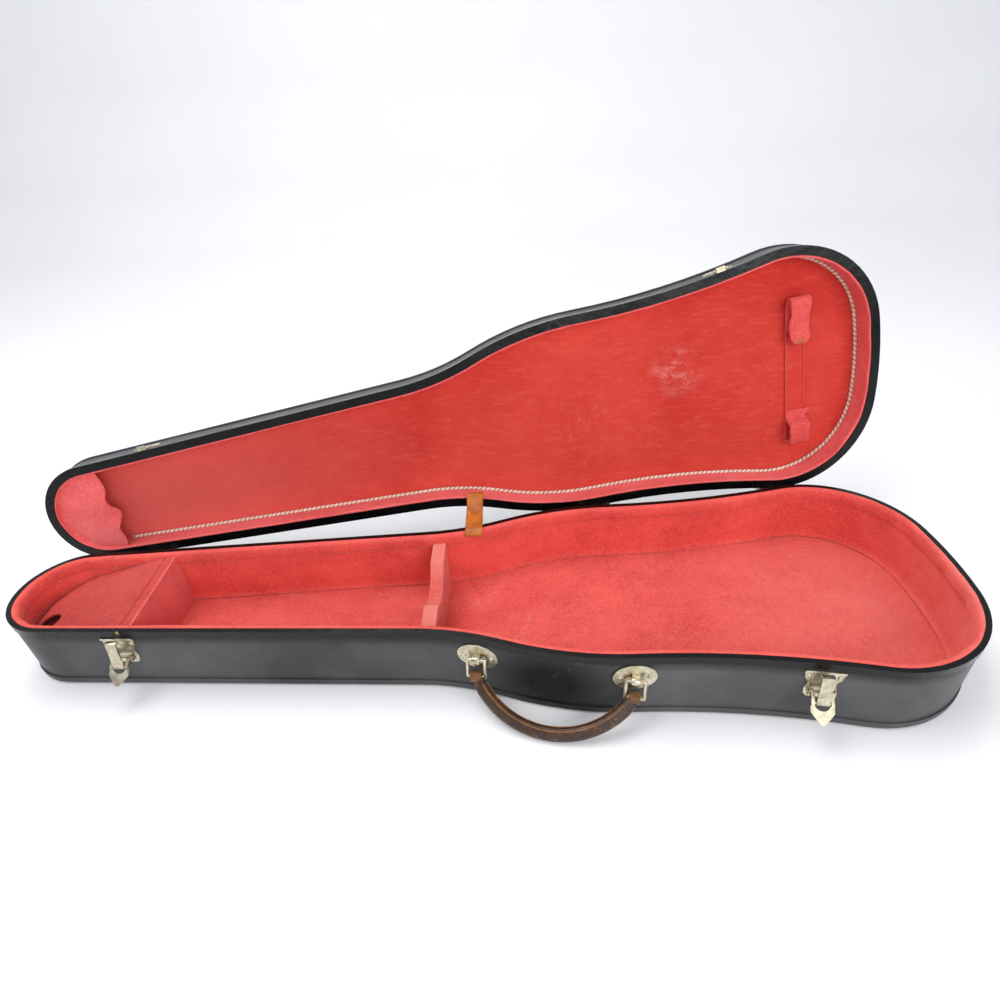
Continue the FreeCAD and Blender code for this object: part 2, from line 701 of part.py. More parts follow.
def link_ring(x):
    """Rectangular wire ring: a bar through the lug and a bar through the grip's end."""
    half = 7.0
    bars = []
    for z in (0, -LINK_DROP):
        bars.append(rod(V(x, 0, z), V(1, 0, 0), WIRE_R, 2 * half))
    for side in (-1, 1):
        bars.append(rod(V(x + side * half, 0, -LINK_DROP / 2), UP, WIRE_R, LINK_DROP))
        for z in (0, -LINK_DROP):
            bars.append(Part.makeSphere(WIRE_R, V(x + side * half, 0, z)))
    return fuse(bars)


def grip(half):
    """Stitched leather grip: a curved bar with a loop at each end, and metal loop liners."""
    r = (half ** 2 + GRIP_SAG ** 2) / (2 * GRIP_SAG)
    centre = V(0, 0, r - GRIP_SAG)
    reach = math.asin(half / r)
    at = lambda a: centre + V(math.sin(a) * r, 0, -math.cos(a) * r)
    spine = Part.Wire([Part.Arc(at(-reach), at(0), at(reach)).toShape()])
    start = at(-reach)
    tangent = V(math.cos(reach), 0, -math.sin(reach))
    side = Part.Ellipse(V(0, 0, 0), GRIP_HIGH / 2, GRIP_THICK / 2).toShape()
    turn = FreeCAD.Rotation(V(math.sin(reach), 0, math.cos(reach)), V(0, 1, 0), tangent * -1, "ZXY")
    profile = placed(side, FreeCAD.Placement(start, turn))
    bar = spine.makePipeShell([Part.Wire([profile])], True, True)
    loops = []
    tubes = []
    for s in (-1, 1):
        loops.append(rod(V(s * half, 0, 0), V(1, 0, 0), 4.6, 9.0))
        tube = rod(V(s * half, 0, 0), V(1, 0, 0), 2.4, 9.0)
        tubes.append(tube.cut(rod(V(s * half, 0, 0), V(1, 0, 0), WIRE_R + 0.08, 12)))
    body = fuse([bar] + loops)
    for s in (-1, 1):
        body = body.cut(rod(V(s * half, 0, 0), V(1, 0, 0), 2.4, 12))
        wire_x = s * (half - 7.0)
        body = body.cut(box(wire_x - 2.3, wire_x + 2.3, -9, 9, -3.4, 12))
    return body, Part.makeCompound(tubes)


# ---- stay strap --------------------------------------------------------------------
def stay_strap():
    """Leather strap from inside the base's back wall to inside the lid's back wall."""
    x = x_of(STRAP_U)
    base_y = half_width(STRAP_U - STRAP_WIDE / 2, INNER)[0] - 0.4
    start = hinge_point(STRAP_U)
    inside = V(x, base_y, LID_RIM + 3.0) - start
    a = math.radians(OPEN_DEG)
    lid_y = start.y + inside.y * math.cos(a) + inside.z * math.sin(a)
    lid_z = start.z - inside.y * math.sin(a) + inside.z * math.cos(a)
    path = [(base_y, 61.5), (base_y, 66.6), (base_y + 4.0, 68.4), (lid_y - 2.0, lid_z + 2.6)]
    path.append((lid_y + 4.0, lid_z + 0.2 - 4.0 * math.tan(a - math.pi / 2)))
    thick = 1.6
    pts = [V(x - STRAP_WIDE / 2, y, z) for y, z in path]
    pts += [V(p.x, p.y - 0.3, p.z + thick) for p in reversed(pts[1:])]
    pts.append(V(pts[0].x, base_y - thick, 61.5))
    strip = Part.Face(Part.makePolygon(pts + [pts[0]])).extrude(V(STRAP_WIDE, 0, 0))
    save("stay_strap", strip)


def rim_nail():
    place = front_place(116.5, BASE_HEIGHT - 1.3)
    save("rim_nail", placed(dome(0, 0, 1.6, -BINDING_PROUD, 0.8), place))


# ---- build and write ---------------------------------------------------------------
base_shell()
base_linings()
neck_partition()
compartment()
lid_shell()
lid_linings()
bow_holder()
hinges()
latches()
handle()
stay_strap()
rim_nail()

os.makedirs("parts", exist_ok=True)
for node, shape in out_nodes.items():
    if not shape.isValid() or not shape.Solids:
        raise RuntimeError("bad solid: " + node)
    shape.exportStep("parts/" + node + ".step")
    bb = shape.BoundBox
    print("%-26s %2d solids  x %7.1f %7.1f  y %7.1f %7.1f  z %7.1f %7.1f" % (
        node, len(shape.Solids), bb.XMin, bb.XMax, bb.YMin, bb.YMax, bb.ZMin, bb.ZMax))
print("hinge point", HINGE_POINT, "direction", HINGE_DIR)
print("handle axis", handle_ends(), "nodes", len(out_nodes))
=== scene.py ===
"""Looks for the open shaped violin case.

A leather-cloth shell, plush and woven linings, a twisted cord, straps, a grip and aged nickel.
Lengths in the shape code are millimetres and make() turns them into metres.
"""
import json
import math

import bpy
import numpy as np
from mathutils import Matrix, Vector


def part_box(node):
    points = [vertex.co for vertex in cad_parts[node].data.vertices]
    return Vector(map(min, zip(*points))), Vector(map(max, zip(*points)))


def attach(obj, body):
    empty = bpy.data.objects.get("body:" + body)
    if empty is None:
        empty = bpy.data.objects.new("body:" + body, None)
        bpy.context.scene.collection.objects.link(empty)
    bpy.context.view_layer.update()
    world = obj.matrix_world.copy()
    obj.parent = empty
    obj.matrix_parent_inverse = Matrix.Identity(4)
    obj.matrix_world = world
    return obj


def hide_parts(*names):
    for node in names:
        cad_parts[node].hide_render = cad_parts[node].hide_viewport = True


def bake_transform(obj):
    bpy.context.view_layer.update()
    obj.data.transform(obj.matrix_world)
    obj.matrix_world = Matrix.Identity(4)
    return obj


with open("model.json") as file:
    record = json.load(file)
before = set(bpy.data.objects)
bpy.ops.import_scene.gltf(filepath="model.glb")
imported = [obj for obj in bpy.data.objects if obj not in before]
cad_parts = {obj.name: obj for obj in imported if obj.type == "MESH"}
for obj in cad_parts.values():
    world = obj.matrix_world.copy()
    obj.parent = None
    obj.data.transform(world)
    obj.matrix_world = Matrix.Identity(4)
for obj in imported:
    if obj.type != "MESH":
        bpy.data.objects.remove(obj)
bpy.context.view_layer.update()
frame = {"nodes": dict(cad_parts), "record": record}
NODES = frame["nodes"]
JOINTS = {j["name"]: j for j in frame["record"]["behaviour"]["joints"]}
MM = 0.001

# ---- sizes shared with the CAD part (mm) -----------------------------------------------
LONG_HALF = 400
LID_RIM = 66.4
LID_TOP = 100.4
BOARD = 6.0
LINING = 2.0
PANEL = LID_TOP - BOARD - LINING
NOSE_R, FLARE, SHOULDER_R = 47.6, math.radians(2.5), 234.0
UPPER, UPPER_HALF, UPPER_R, WAIST_R = 524.6 - LONG_HALF, 93.0, 279.0, 776.0
LOWER_HALF, LOWER_R, BUTT_R = 113.0, 84.0, 341.0
OPEN = math.radians(JOINTS["lid_hinge"]["range_deg"][1])
AXIS_P = np.array(JOINTS["lid_hinge"]["pos_m"]) * 1000
AXIS_D = np.array(JOINTS["lid_hinge"]["axis"])


def unit(v):
    return v / np.linalg.norm(v)


def heading(v):
    """Angle of a plan direction."""
    return math.atan2(v[1], v[0])


def half_arcs():
    """(centre, radius, hollow, start angle, end angle) along the +Y half from the nose tip."""
    nose = np.array([NOSE_R - LONG_HALF, 0.0])
    along = np.array([math.cos(FLARE), math.sin(FLARE)])
    side = np.array([-along[1], along[0]])
    upper = np.array([UPPER, UPPER_HALF - UPPER_R])
    butt = np.array([LONG_HALF - BUTT_R, 0.0])
    low_y = LOWER_HALF - LOWER_R
    lower = np.array([butt[0] + math.sqrt((BUTT_R - LOWER_R) ** 2 - low_y ** 2), low_y])
    start = nose + side * (NOSE_R + SHOULDER_R)
    q = start - upper
    b = q @ along
    shoulder = start + along * (-b - math.sqrt(b * b - q @ q + (SHOULDER_R + UPPER_R) ** 2))
    span = lower - upper
    dist = np.linalg.norm(span)
    ra, rb = UPPER_R + WAIST_R, LOWER_R + WAIST_R
    t = (ra * ra - rb * rb + dist * dist) / (2 * dist)
    e = span / dist
    waist = upper + e * t + np.array([-e[1], e[0]]) * math.sqrt(ra * ra - t * t)
    rows = [(nose, NOSE_R, False, math.pi, heading(side))]
    rows.append((shoulder, SHOULDER_R, True, heading(-side), heading(upper - shoulder)))
    rows.append((upper, UPPER_R, False, heading(shoulder - upper), heading(waist - upper)))
    rows.append((waist, WAIST_R, True, heading(upper - waist), heading(lower - waist)))
    rows.append((lower, LOWER_R, False, heading(waist - lower), heading(lower - butt)))
    rows.append((butt, BUTT_R, False, heading(lower - butt), 0.0))
    return rows


STEP = 2.0


def outline():
    """Closed outline as points and inward normals, from the nose tip over +Y."""
    pts, nrm = [], []
    for centre, r, hollow, a0, a1 in half_arcs():
        n = max(3, int(abs(a1 - a0) * r / STEP))
        for k in range(n + 1):
            a = a0 + (a1 - a0) * k / n
            d = np.array([math.cos(a), math.sin(a)])
            p = centre + d * r
            if pts and np.linalg.norm(p - pts[-1]) > 3 * STEP:
                count = int(np.linalg.norm(p - pts[-1]) / STEP)
                first = pts[-1]
                for i in range(1, count):
                    pts.append(first + (p - first) * i / count)
                    nrm.append(nrm[-1])
            if not pts or np.linalg.norm(p - pts[-1]) > 1e-3:
                pts.append(p)
                nrm.append(d if hollow else -d)
    pts, nrm = np.array(pts), np.array(nrm)
    flip = np.array([1, -1])
    pts = np.vstack([pts, (pts * flip)[-2:0:-1]])
    nrm = np.vstack([nrm, (nrm * flip)[-2:0:-1]])
    return pts, nrm


OUT_P, OUT_N = outline()
WAVES = 12


def turned(co, p=AXIS_P):
    """Points (mm) carried from the closed lid to the open one; p=0 turns directions."""
    q = np.asarray(co, float) - p
    c, s = math.cos(-OPEN), math.sin(-OPEN)
    return p + q * c + np.cross(AXIS_D, q) * s + np.outer(q @ AXIS_D, AXIS_D) * (1 - c)


def wobble(co, scale, seed):
    """Smooth pseudo-random field from -1 to 1 over points in mm."""
    gen = np.random.default_rng(seed)
    total = np.zeros(len(co))
    for _ in range(WAVES):
        k = gen.normal(size=3) / scale * gen.uniform(0.6, 1.9)
        total += np.sin(co @ k + gen.uniform(0, 6.28))
    return total / WAVES ** 0.5 / 1.6


def make(name, co, faces, mat, body):
    """Smooth mesh object from mm points, riding on a body if one is named."""
    mesh = bpy.data.meshes.new(name)
    mesh.from_pydata((np.asarray(co, float) * MM).tolist(), [], faces)
    mesh.polygons.foreach_set("use_smooth", [True] * len(mesh.polygons))
    mesh.materials.append(mat)
    obj = bpy.data.objects.new(name, mesh)
    bpy.context.scene.collection.objects.link(obj)
    if body:
        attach(obj, body)
    return obj


def grid_faces(rows, cols, wrap=False):
    """Quads of a grid stored row by row; wrap joins the last column to the first."""
    faces = []
    for i in range(rows - 1):
        for j in range(cols if wrap else cols - 1):
            k = (j + 1) % cols
            faces.append((i * cols + j, i * cols + k, (i + 1) * cols + k, (i + 1) * cols + j))
    return faces


def thicken(obj, mm):
    """Gives a sheet its thickness, half to each side."""
    m = obj.modifiers.new("thick", "SOLIDIFY")
    m.thickness = mm * MM
    m.offset = 0


# ---- materials -------------------------------------------------------------------------
def lin(*rgb):
    """Linear colour from 0 to 255 display values."""
    return tuple(((v / 255 + 0.055) / 1.055) ** 2.4 if v > 10 else v / 3295 for v in rgb) + (1.0,)


class Mat:
    """A node material under construction."""

    def __init__(self, name, rough, metal=0.0, **inputs):
        self.mat = bpy.data.materials.new(name)
        self.mat.use_nodes = True
        self.tree = self.mat.node_tree
        self.bsdf = self.tree.nodes["Principled BSDF"]
        self.bsdf.inputs["Roughness"].default_value = rough
        self.bsdf.inputs["Metallic"].default_value = metal
        for key, value in inputs.items():
            self.bsdf.inputs[key.replace("_", " ")].default_value = value
        self.coord = self.node("ShaderNodeTexCoord").outputs["Object"]

    def node(self, kind, **props):
        n = self.tree.nodes.new(kind)
        for key, value in props.items():
            setattr(n, key, value)
        return n

    def link(self, a, b):
        self.tree.links.new(a, b)

    def noise(self, scale, detail=3.0, rough=0.5, stretch=None):
        n = self.node("ShaderNodeTexNoise")
        n.inputs["Scale"].default_value = scale
        n.inputs["Detail"].default_value = detail
        n.inputs["Roughness"].default_value = rough
        self.link(self.stretched(stretch) if stretch else self.coord, n.inputs["Vector"])
        return n.outputs["Fac"]

    def stretched(self, scale):
        m = self.node("ShaderNodeMapping")
        m.inputs["Scale"].default_value = scale
        self.link(self.coord, m.inputs["Vector"])
        return m.outputs["Vector"]

    def ramp(self, value, lo, hi, a=0.0, b=1.0):
        n = self.node("ShaderNodeMapRange")
        for key, v in (("From Min", lo), ("From Max", hi), ("To Min", a), ("To Max", b)):
            n.inputs[key].default_value = v
        self.link(value, n.inputs["Value"])
        return n.outputs["Result"]

    def math(self, op, a, b):
        n = self.node("ShaderNodeMath", operation=op)
        for i, v in enumerate((a, b)):
            if isinstance(v, (int, float)):
                n.inputs[i].default_value = v
            else:
                self.link(v, n.inputs[i])
        return n.outputs[0]

    def mix(self, fac, a, b):
        n = self.node("ShaderNodeMix", data_type="RGBA")
        for i, v in ((0, fac), (6, a), (7, b)):
            if isinstance(v, (float, tuple)):
                n.inputs[i].default_value = v
            else:
                self.link(v, n.inputs[i])
        return n.outputs[2]

    def part(self, axis):
        n = self.node("ShaderNodeSeparateXYZ")
        self.link(self.coord, n.inputs[0])
        return n.outputs[axis]

    def near(self, centre, radius, soft):
        """1 inside a ball about centre (m), falling to 0 at its edge."""
        n = self.node("ShaderNodeVectorMath", operation="DISTANCE")
        n.inputs[1].default_value = centre
        self.link(self.coord, n.inputs[0])
        return self.ramp(n.outputs["Value"], radius + soft, radius - soft)

    def color(self, value):
        self.link(value, self.bsdf.inputs["Base Color"])
        return self

    def rough(self, value):
        self.link(value, self.bsdf.inputs["Roughness"])
        return self

    def bump(self, height, strength, distance):
        n = self.node("ShaderNodeBump")
        n.inputs["Strength"].default_value = strength
        n.inputs["Distance"].default_value = distance
        self.link(height, n.inputs["Height"])
        self.link(n.outputs["Normal"], self.bsdf.inputs["Normal"])
        return self


# centre (m), radius and softness of the darker patches on the shell at the nose and behind the handle
NOSE_DARK_PATCH = ((-0.41, -0.01, 0.04), 0.055, 0.03)
HANDLE_DARK_PATCH = ((0.062, -0.088, 0.03), 0.047, 0.03)


def shell_material():
    """Grey-black leather cloth, its grey partly painted reflection; blacker in patches at the nose and
    behind the handle, with painted shade under the front rim.
    """
    m = Mat("leathercloth_black", 0.4)
    m.bsdf.inputs["Specular IOR Level"].default_value = 0.16
    grain = m.noise(900, 4, 0.6)
    # dark grey cloth whose grey is partly painted reflection, standing in for the sheen of the bright
    # surroundings
    tone = m.mix(m.ramp(m.noise(9, 4, 0.6), 0.35, 0.7), lin(60, 60, 61), lin(87, 87, 88))
    dark = m.math("MAXIMUM", m.near(*NOSE_DARK_PATCH), m.near(*HANDLE_DARK_PATCH))
    z = m.part(2)
    # painted shade: a darker band on the front wall just under the rim's binding
    painted_shade_under_rim = m.math("MULTIPLY", m.ramp(z, 0.049, 0.057), m.ramp(z, 0.075, 0.066))
    painted_shade_under_rim = m.math("MULTIPLY", painted_shade_under_rim, m.ramp(m.part(1), 0.02, -0.02))
    # the painted shade under the rim joins the darker patches here
    dark = m.math("MAXIMUM", dark, m.math("MULTIPLY", painted_shade_under_rim, 0.7))
    dark = m.math("MULTIPLY", dark, m.ramp(m.noise(70, 7, 0.75), 0.2, 0.42))
    tone = m.mix(m.math("MULTIPLY", dark, 0.93), tone, lin(3, 3, 4))
    scuff = m.ramp(m.noise(46, 8, 0.75), 0.66, 0.74)
    m.color(m.mix(m.math("MULTIPLY", scuff, 0.3), tone, lin(132, 130, 126)))
    m.rough(m.ramp(m.noise(14, 5, 0.6), 0.3, 0.7, 0.26, 0.44))
    return m.bump(m.math("ADD", grain, m.math("MULTIPLY", m.noise(60, 3), 1.5)), 0.35, 0.0004).mat


def binding_material():
    """Glossy black edge strip with a few scuffs."""
    m = Mat("binding_black", 0.3)
    m.bsdf.inputs["Specular IOR Level"].default_value = 0.28
    m.color(m.mix(m.ramp(m.noise(60, 7, 0.75), 0.66, 0.76), lin(5, 5, 6), lin(48, 44, 42)))
    m.rough(m.ramp(m.noise(25, 5, 0.6), 0.3, 0.7, 0.14, 0.34))
    ripples = m.math("ADD", m.noise(160, 5, 0.6), m.math("MULTIPLY", m.noise(28, 2), 2.5))
    return m.bump(ripples, 0.6, 0.0006).mat


def plush_material(name, deep, mid, pale, wear=0.5, rim_highlight=None, soiled=None, faded=None):
    """Short pile cloth: deep folds of colour, worn paler patches and fine fuzz.

    In metres: the rim highlight is (low z, high z, amount) of painted highlight, paler towards the top;
    soiled is the centre of a brown stain, faded (centre, radius, softness, amount) of a paler area.
    """
    m = Mat(name, 0.95, Sheen_Weight=0.3, Sheen_Roughness=0.45)
    m.bsdf.inputs["Sheen Tint"].default_value = lin(255, 190, 185)
    m.bsdf.inputs["Specular IOR Level"].default_value = 0.15
    large = m.math("MULTIPLY", m.noise(13, 6, 0.62), 0.6)
    big = m.math("ADD", large, m.math("MULTIPLY", m.noise(55, 7, 0.7), 0.4))
    fuzz = m.noise(520, 6, 0.75)
    tone = m.mix(m.ramp(big, 0.4, 0.6), deep, mid)
    worn = m.ramp(m.noise(34, 11, 0.8), 0.68 - 0.2 * wear, 0.92 - 0.2 * wear)
    if rim_highlight is not None:
        low, high, amount = rim_highlight
        # painted highlight: the cloth turns paler towards the top of the rim; it joins the wear mask in worn
        rim = m.math("MULTIPLY", m.ramp(m.part(2), low, high), amount)
        worn = m.math("MAXIMUM", worn, rim)
    if faded is not None:
        centre, radius, soft, amount = faded
        uneven = m.ramp(m.noise(24, 8, 0.7), 0.3, 0.6, 0.4, 1.0)
        patchy = m.math("MULTIPLY", m.near(centre, radius, soft), uneven)
        worn = m.math("MAXIMUM", worn, m.math("MULTIPLY", patchy, amount))
    tone = m.mix(worn, tone, pale)
    tone = m.mix(m.math("MULTIPLY", m.ramp(fuzz, 0.42, 0.7), 0.42), tone, pale)
    if soiled is not None:
        stain = m.math("MULTIPLY", m.near(soiled, 0.0045, 0.003), 0.75)
        tone = m.mix(stain, tone, lin(160, 104, 66))
    m.color(tone)
    nap = m.math("ADD", fuzz, m.math("MULTIPLY", m.noise(60, 5, 0.65), 1.8))
    return m.bump(nap, 0.7, 0.001).mat


WEAVE = 3000.0
RUBBED_AT = (219.0, -19.0)
SCRATCHED_AT = (130.0, 20.0)


def woven_material():
    """Plain-weave cotton on the lid's board: painted light makes it paler to the nose; rubbed in one spot,
    scratched in another.
    """
    m = Mat("woven_red", 0.9, Sheen_Weight=0.15)
    m.bsdf.inputs["Specular IOR Level"].default_value = 0.2
    d = Vector(AXIS_D)
    across = Vector(turned([[0, 1, 0]], p=np.zeros(3))[0]).normalized()
    waves = []
    for axis in (d, across):
        dot = m.node("ShaderNodeVectorMath", operation="DOT_PRODUCT")
        dot.inputs[1].default_value = tuple(axis * WEAVE)
        m.link(m.coord, dot.inputs[0])
        drift = m.math("MULTIPLY", m.noise(40, 2), 9)
        waves.append(m.math("SINE", m.math("ADD", dot.outputs["Value"], drift), 0))
    weave = m.math("MULTIPLY", waves[0], waves[1])
    slub = m.noise(60, 6, 0.7, stretch=(1, 5, 5))
    tone = m.mix(m.ramp(m.noise(7, 6, 0.65), 0.35, 0.68), lin(194, 52, 42), lin(216, 74, 61))
    # painted light: a gradient paler towards the nose end of the board
    tone = m.mix(m.ramp(m.part(0), -0.05, -0.33, 0.0, 0.5), tone, lin(236, 114, 110))
    tone = m.mix(m.math("MULTIPLY", m.ramp(slub, 0.5, 0.8), 0.5), tone, lin(230, 106, 92))
    smear = m.ramp(m.noise(85, 9, 0.8, stretch=(0.55, 1, 1)), 0.46, 0.62)
    centre = turned([[*RUBBED_AT, PANEL]])[0] * MM
    patch = m.math("MULTIPLY", m.near(tuple(centre), 0.014, 0.016), smear)
    low = turned([[*SCRATCHED_AT, PANEL]])[0] * MM
    streaks = m.ramp(m.noise(140, 8, 0.8), 0.52, 0.72)
    faint = m.math("MULTIPLY", m.near(tuple(low), 0.02, 0.03), streaks)
    tone = m.mix(m.math("MULTIPLY", patch, 0.6), tone, lin(244, 186, 178))
    tone = m.mix(m.math("MULTIPLY", faint, 0.4), tone, lin(240, 170, 162))
    m.color(tone)
    threads = m.math("ADD", weave, m.math("MULTIPLY", slub, 2.0))
    return m.bump(threads, 0.35, 0.0003).mat


def metal_material(name, bright, dull, dark):
    """Aged plating: bright and dull clouds with small dark pits."""
    m = Mat(name, 0.35, 1.0)
    tone = m.mix(m.ramp(m.noise(150, 6, 0.65), 0.38, 0.68), bright, dull)
    pits = m.ramp(m.noise(360, 7, 0.78), 0.58, 0.7)
    m.color(m.mix(m.math("MULTIPLY", pits, 0.8), tone, dark))
    m.rough(m.ramp(m.noise(200, 5, 0.6), 0.3, 0.7, 0.2, 0.5))
    return m.bump(m.noise(500, 4, 0.6), 0.25, 0.0002).mat


def leather_material(name, dark, mid, light, rough):
    """Leather or bare wood: mottled, with lighter worn spots."""
    m = Mat(name, rough)
    tone = m.mix(m.ramp(m.noise(60, 6, 0.65), 0.35, 0.65), dark, mid)
    m.color(m.mix(m.ramp(m.noise(170, 6, 0.7), 0.56, 0.72), tone, light))
    m.rough(m.ramp(m.noise(90, 5), 0.3, 0.7, rough - 0.12, rough + 0.14))
    return m.bump(m.noise(650, 5, 0.65), 0.5, 0.0005).mat


def yarn_material(name, dark, light):
    """Soft twisted yarn: uneven dye and fine fibres."""
    m = Mat(name, 0.88, Sheen_Weight=0.2)
    tone = m.mix(m.ramp(m.noise(260, 5, 0.7), 0.34, 0.66), dark, light)
    m.color(tone)
    return m.bump(m.noise(1500, 4, 0.7), 0.5, 0.0003).mat


def paper_material():
    """The stage's floor and wall."""
    m = Mat("paper", 0.75)
    m.color(m.mix(m.ramp(m.noise(3, 3), 0.4, 0.6), lin(241, 241, 243), lin(243, 243, 244)))
    return m.mat


SHELL = shell_material()
BIND = binding_material()
BUTT_WALL = ((0.385, -0.03, 0.05), 0.075, 0.05, 0.55)
BUTT_FLOOR = ((0.35, -0.02, 0.01), 0.09, 0.07, 0.3)
BOW_X = 333.0
FLAP_TIP = tuple(turned([[BOW_X, -25.0, PANEL - 13.3]])[0] * MM)
PLUSH_WALL = plush_material(
    "plush_base_wall",
    lin(208, 60, 54),
    lin(234, 82, 73),
    lin(242, 140, 130),
    wear=0.4,
    # painted highlight along the top of the wall's rim roll
    rim_highlight=(0.056, 0.068, 0.12),
    faded=BUTT_WALL,
)
PLUSH_FLOOR = plush_material(
    "plush_base_floor",
    lin(208, 68, 62),
    lin(226, 88, 80),
    lin(238, 146, 138),
    wear=0.55,
    faded=BUTT_FLOOR,
)
PLUSH_LID = plush_material("plush_lid", lin(228, 84, 84), lin(242, 106, 106), lin(250, 158, 154))
STRAP_TONES = (lin(210, 64, 62), lin(230, 90, 86), lin(244, 144, 136))
PLUSH_STRAP = plush_material("plush_strap", *STRAP_TONES, wear=0.45)
PLUSH_FLAP = plush_material("plush_flap", *STRAP_TONES, wear=0.45, soiled=FLAP_TIP)
PLUSH_PAD = plush_material(
    "plush_partition",
    lin(194, 66, 60),
    lin(214, 90, 82),
    lin(232, 150, 136),
    wear=0.7,
    # painted highlight over the partition's top
    rim_highlight=(0.046, 0.062, 0.6),
)
# a darker copy of the plush: painted shade on the compartment's lid and panel
PLUSH_BOX_PAINTED_SHADE = plush_material(
    "plush_compartment", lin(178, 52, 48), lin(198, 70, 65), lin(220, 112, 105), wear=0.4
)
PLUSH_FACE = plush_material(
    "plush_compartment_face", lin(208, 76, 74), lin(226, 98, 96), lin(240, 142, 136), wear=0.4
)
WOVEN = woven_material()
NICKEL = metal_material("nickel_aged", lin(222, 214, 192), lin(168, 156, 126), lin(66, 52, 34))
BRASS = metal_material("brass_aged", lin(222, 190, 110), lin(170, 132, 70), lin(80, 60, 30))
TAN = leather_material("leather_tan", lin(150, 78, 18), lin(196, 114, 34), lin(214, 140, 62), 0.4)
BROWN = leather_material("leather_brown", lin(36, 19, 9), lin(68, 38, 15), lin(134, 84, 40), 0.38)
LOOP = leather_material("leather_loop", lin(70, 40, 14), lin(116, 74, 28), lin(172, 124, 62), 0.5)
EDGE = leather_material("leather_edge", lin(104, 62, 30), lin(150, 98, 52), lin(190, 140, 84), 0.6)
THREAD = yarn_material("thread", lin(180, 128, 72), lin(214, 170, 110))
# softwood in very dark tones: partly its own colour, partly painted shade so the finger hole's inside reads
# dark
WOOD_WITH_PAINTED_SHADE = leather_material("softwood_with_painted_shade", lin(52, 28, 22), lin(70, 40, 30), lin(96, 60, 44), 0.7)
WHITE = yarn_material("cord_white", lin(232, 214, 196), lin(252, 244, 232))
MAUVE = yarn_material("cord_dark", lin(176, 132, 112), lin(222, 186, 164))
SEAM = yarn_material("seam_thread", lin(188, 64, 58), lin(220, 100, 92))


def node_material(name):
    """The finish of a CAD node, by its name."""
    if "side_wall" in name or name in ("base_bottom_panel", "lid_top_panel"):
        return SHELL
    if "binding" in name:
        return BIND
    if name in ("lid_top_lining", "bow_strap_backing"):
        return WOVEN
    if name.startswith("bow_"):
        return PLUSH_STRAP
    if name == "neck_partition_cover":
        return PLUSH_PAD
    if name in ("compartment_lid_cover", "compartment_panel"):
        return PLUSH_BOX_PAINTED_SHADE
    if name == "compartment_panel_cover":
        return PLUSH_FACE
    if name in ("neck_partition", "compartment_lid", "compartment_cleats"):
        return WOOD_WITH_PAINTED_SHADE
    if "lining" in name:
        return PLUSH_WALL
    return {"rim_nail": BRASS, "stay_strap": TAN, "handle_grip": BROWN}.get(name, NICKEL)


for name, obj in NODES.items():
    obj.data.materials.clear()
    obj.data.materials.append(node_material(name))


# ---- swept linings ---------------------------------------------------------------------
ENDS_FROM, ENDS_OVER = 330, 40  # the cloth ruckles more towards both ends of the case


def swept(name, profile, mat, body, lid=False, seed=3, rough=0.5):
    """Closed band round the outline from (inset, z) profile points, with soft unevenness."""
    rows = []
    for inset, z in profile:
        ring = OUT_P + OUT_N * inset
        rows.append(np.column_stack([ring, np.full(len(ring), z)]))
    co = np.vstack(rows)
    ends = np.clip((np.abs(co[:, 0]) - ENDS_FROM) / ENDS_OVER, 0, 1)
    broad = wobble(co, 16.0, seed) * rough
    push = broad + wobble(co, 7.0, seed + 1) * rough * (0.4 + 1.6 * ends)
    normal = np.tile(OUT_N, (len(profile), 1))
    middle = np.repeat(np.sin(np.linspace(0, math.pi, len(profile))) ** 0.5, len(OUT_P))
    co[:, :2] += normal * (push * middle)[:, None]
    if lid:
        co = turned(co)
    faces = grid_faces(len(profile), len(OUT_P), wrap=True)
    return make(name, co, faces, mat, body)


base_profile = [(3.15, 65.2), (3.3, 65.9), (4.2, 66.2), (5.6, 66.1), (6.8, 65.3), (7.6, 63.6), (7.8, 61.0),
                (7.8, 58.0), (7.7, 55.6), (7.3, 54.3), (6.9, 53.8), (7.0, 52.6), (7.2, 48.0), (7.2, 42.0),
                (7.1, 34.0), (7.1, 26.0), (7.1, 18.0), (7.5, 13.5), (8.6, 11.4), (10.6, 10.5)]
lining = swept("base_wall_plush", base_profile, PLUSH_WALL, "base", rough=0.45)
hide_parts("base_wall_lining", "base_lip_lining")
lid_profile = [(6.3, 68.6), (6.85, 67.4), (7.5, 66.9), (8.3, 67.2), (8.7, 68.4), (8.3, 70.4), (7.5, 73.0),
               (7.0, 78.0), (6.9, 84.0), (6.9, 89.0), (7.1, 92.2)]
lid_lining = swept("lid_wall_plush", lid_profile, PLUSH_LID, "lid", lid=True, seed=9, rough=0.4)
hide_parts("lid_wall_lining")


def half_width(x, inset):
    """Half width of the outline at x, moved in by inset."""
    ring = OUT_P + OUT_N * inset
    upper = ring[: len(OUT_P) // 2 + 1]
    return np.interp(x, upper[:, 0], upper[:, 1])


FLOOR_INSET = 4.8
FLOOR_Z = 10.2


def floor_mesh():
    """Floor cloth, lightly rumpled, reaching under the foot of the wall lining."""
    x0, x1 = -LONG_HALF + FLOOR_INSET, LONG_HALF - FLOOR_INSET
    t = np.linspace(0, math.pi, 340)
    xs = (x0 + x1) / 2 - (x1 - x0) / 2 * np.cos(t)
    width = half_width(xs, FLOOR_INSET)
    across = np.sin(np.linspace(-math.pi / 2, math.pi / 2, 61))
    co = []
    for x, w in zip(xs, width):
        co += [(x, a * w, FLOOR_Z) for a in across]
    co = np.array(co)
    co[:, 2] += wobble(co, 34.0, 5) * 0.5 + wobble(co, 11.0, 6) * 0.12
    faces = grid_faces(len(xs), len(across))
    obj = make("base_floor_plush", co, faces, PLUSH_FLOOR, "base")
    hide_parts("base_floor_lining")


floor_mesh()


